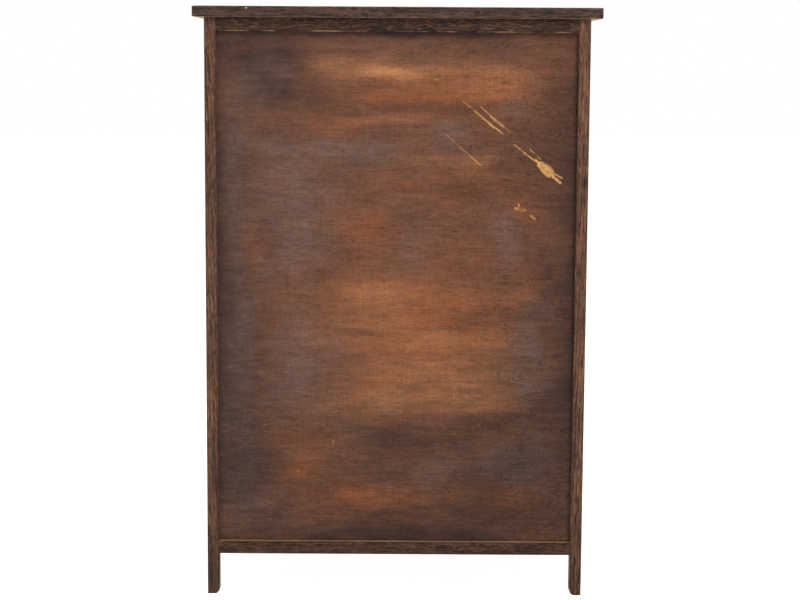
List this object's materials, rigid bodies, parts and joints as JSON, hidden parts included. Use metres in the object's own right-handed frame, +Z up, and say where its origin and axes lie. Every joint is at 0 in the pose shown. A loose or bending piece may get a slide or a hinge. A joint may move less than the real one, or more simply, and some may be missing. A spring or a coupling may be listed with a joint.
{
  "type": "chest of drawers",
  "caption": "Small tall chest of drawers on slender legs: post-and-rail carcass with thin panels in grooves, overhanging top, inset dovetailed drawers with square wooden knobs.",
  "frame": {"origin": "floor level under the middle of the whole chest, knobs included", "axes": "+Z up, -Y to the front, where the drawers open, +X to the right as seen from the front"},
  "size_m": [0.415, 0.306, 0.61],
  "materials": {
    "frame_wood": "dark brown stain, open coarse grain, thin worn satin coat",
    "top_wood": "dark brown stain, open coarse grain, thin worn satin coat",
    "back_plywood": "reddish brown stain wiped on unevenly, dull, scratched",
    "side_plywood": "brown stain, dull satin",
    "drawer_front_wood": "dark brown stain, open coarse grain, satin",
    "knob_wood": "dark brown stain, satin",
    "drawer_box_wood": "bare pale wood",
    "drawer_plywood": "bare thin plywood",
    "inner_wood": "bare pale wood, rubbed by the drawers"
  },
  "bodies": {
    "carcass": {"top_board": "top_wood", "post_front_left": "frame_wood", "post_back_left": "frame_wood", "post_front_right": "frame_wood", "post_back_right": "frame_wood", "back_top_rail": "frame_wood", "back_bottom_rail": "frame_wood", "side_top_rail_left": "frame_wood", "side_bottom_rail_left": "frame_wood", "side_top_rail_right": "frame_wood", "side_bottom_rail_right": "frame_wood", "back_panel": "back_plywood", "side_panel_left": "side_plywood", "side_panel_right": "side_plywood", "front_top_rail": "frame_wood", "front_bottom_rail": "frame_wood", "drawer_divider_1": "frame_wood", "drawer_divider_2": "frame_wood", "drawer_divider_3": "frame_wood", "drawer_divider_4": "frame_wood", "drawer_divider_5": "frame_wood", "back_web_rails": "inner_wood", "drawer_runners": "inner_wood", "top_kickers": "inner_wood"},
    "drawer_1": {"drawer_1_front": "drawer_front_wood", "drawer_1_side_left": "drawer_box_wood", "drawer_1_side_right": "drawer_box_wood", "drawer_1_back": "drawer_box_wood", "drawer_1_bottom": "drawer_plywood", "drawer_1_knobs": "knob_wood"},
    "drawer_2": {"drawer_2_front": "drawer_front_wood", "drawer_2_side_left": "drawer_box_wood", "drawer_2_side_right": "drawer_box_wood", "drawer_2_back": "drawer_box_wood", "drawer_2_bottom": "drawer_plywood", "drawer_2_knobs": "knob_wood"},
    "drawer_3": {"drawer_3_front": "drawer_front_wood", "drawer_3_side_left": "drawer_box_wood", "drawer_3_side_right": "drawer_box_wood", "drawer_3_back": "drawer_box_wood", "drawer_3_bottom": "drawer_plywood", "drawer_3_knobs": "knob_wood"},
    "drawer_4": {"drawer_4_front": "drawer_front_wood", "drawer_4_side_left": "drawer_box_wood", "drawer_4_side_right": "drawer_box_wood", "drawer_4_back": "drawer_box_wood", "drawer_4_bottom": "drawer_plywood", "drawer_4_knobs": "knob_wood"},
    "drawer_5": {"drawer_5_front": "drawer_front_wood", "drawer_5_side_left": "drawer_box_wood", "drawer_5_side_right": "drawer_box_wood", "drawer_5_back": "drawer_box_wood", "drawer_5_bottom": "drawer_plywood", "drawer_5_knobs": "knob_wood"},
    "drawer_6": {"drawer_6_front": "drawer_front_wood", "drawer_6_side_left": "drawer_box_wood", "drawer_6_side_right": "drawer_box_wood", "drawer_6_back": "drawer_box_wood", "drawer_6_bottom": "drawer_plywood", "drawer_6_knobs": "knob_wood"}
  },
  "joints": [
    {"name": "drawer_1_slide", "type": "slide", "parent": "carcass", "child": "drawer_1", "axis": [0, -1, 0], "range_m": [0, 0.2]},
    {"name": "drawer_2_slide", "type": "slide", "parent": "carcass", "child": "drawer_2", "axis": [0, -1, 0], "range_m": [0, 0.2]},
    {"name": "drawer_3_slide", "type": "slide", "parent": "carcass", "child": "drawer_3", "axis": [0, -1, 0], "range_m": [0, 0.2]},
    {"name": "drawer_4_slide", "type": "slide", "parent": "carcass", "child": "drawer_4", "axis": [0, -1, 0], "range_m": [0, 0.2]},
    {"name": "drawer_5_slide", "type": "slide", "parent": "carcass", "child": "drawer_5", "axis": [0, -1, 0], "range_m": [0, 0.2]},
    {"name": "drawer_6_slide", "type": "slide", "parent": "carcass", "child": "drawer_6", "axis": [0, -1, 0], "range_m": [0, 0.2]}
  ]
}
